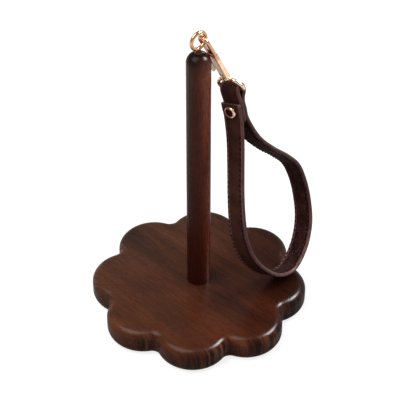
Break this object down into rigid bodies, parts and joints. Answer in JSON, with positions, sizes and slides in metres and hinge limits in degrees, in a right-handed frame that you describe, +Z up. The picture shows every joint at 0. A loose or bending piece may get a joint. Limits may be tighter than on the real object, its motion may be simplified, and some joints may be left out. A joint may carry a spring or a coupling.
{
  "type": "yarn ball holder",
  "caption": "Wooden yarn ball holder with a flower-shaped base, a round post, a screw eye in its domed top and a stitched leather wrist strap on a swivelling snap clasp.",
  "frame": {"origin": "centre of the base's flat underside, on the post's axis", "axes": "+Z up along the post, +X through the middle of the petal on the side that the strap hangs over, +Y completes a right-handed frame"},
  "size_m": [0.1285, 0.12, 0.1807],
  "materials": {
    "walnut": "oiled satin, dark red-brown grain",
    "rose_gold": "polished rose gold plating",
    "screw_steel": "plain steel",
    "outer_leather": "dark brown, fine grain, low sheen",
    "lining_leather": "brown, pebbled grain",
    "thread": "waxed dark thread"
  },
  "bodies": {
    "holder": {"base_plate": "walnut", "post": "walnut", "base_screw": "screw_steel", "screw_eye": "rose_gold"},
    "clasp": {"clasp_body": "rose_gold", "gate_pin": "rose_gold", "gate_spring": "screw_steel"},
    "gate": {"clasp_gate": "rose_gold"},
    "ring": {"swivel_ring": "rose_gold"},
    "strap": {"strap_outer": "outer_leather", "strap_lining": "lining_leather", "stitching_near": "thread", "stitching_far": "thread", "rivet_cap": "rose_gold", "rivet_post": "rose_gold"}
  },
  "joints": [
    {"name": "clasp_swing", "type": "hinge", "parent": "holder", "child": "clasp", "pos_m": [0, 0, 0.1751], "axis": [0, -1, 0], "range_deg": [0, 150]},
    {"name": "gate_pivot", "type": "hinge", "parent": "clasp", "child": "gate", "pos_m": [0.01179, -0.00211, 0.15477], "axis": [0.911, 0.0177, 0.4119], "range_deg": [0, 10], "stiffness_Nm_per_rad": 0.02, "springref_deg": -17.19},
    {"name": "ring_swivel", "type": "hinge", "parent": "clasp", "child": "ring", "pos_m": [0.01822, -0.00548, 0.14069], "axis": [0.4103, -0.1381, -0.9015], "continuous": true},
    {"name": "strap_swing", "type": "hinge", "parent": "ring", "child": "strap", "pos_m": [0.01822, -0.00548, 0.14069], "axis": [0.2454, -0.9353, 0.2549], "range_deg": [0, 75]}
  ]
}
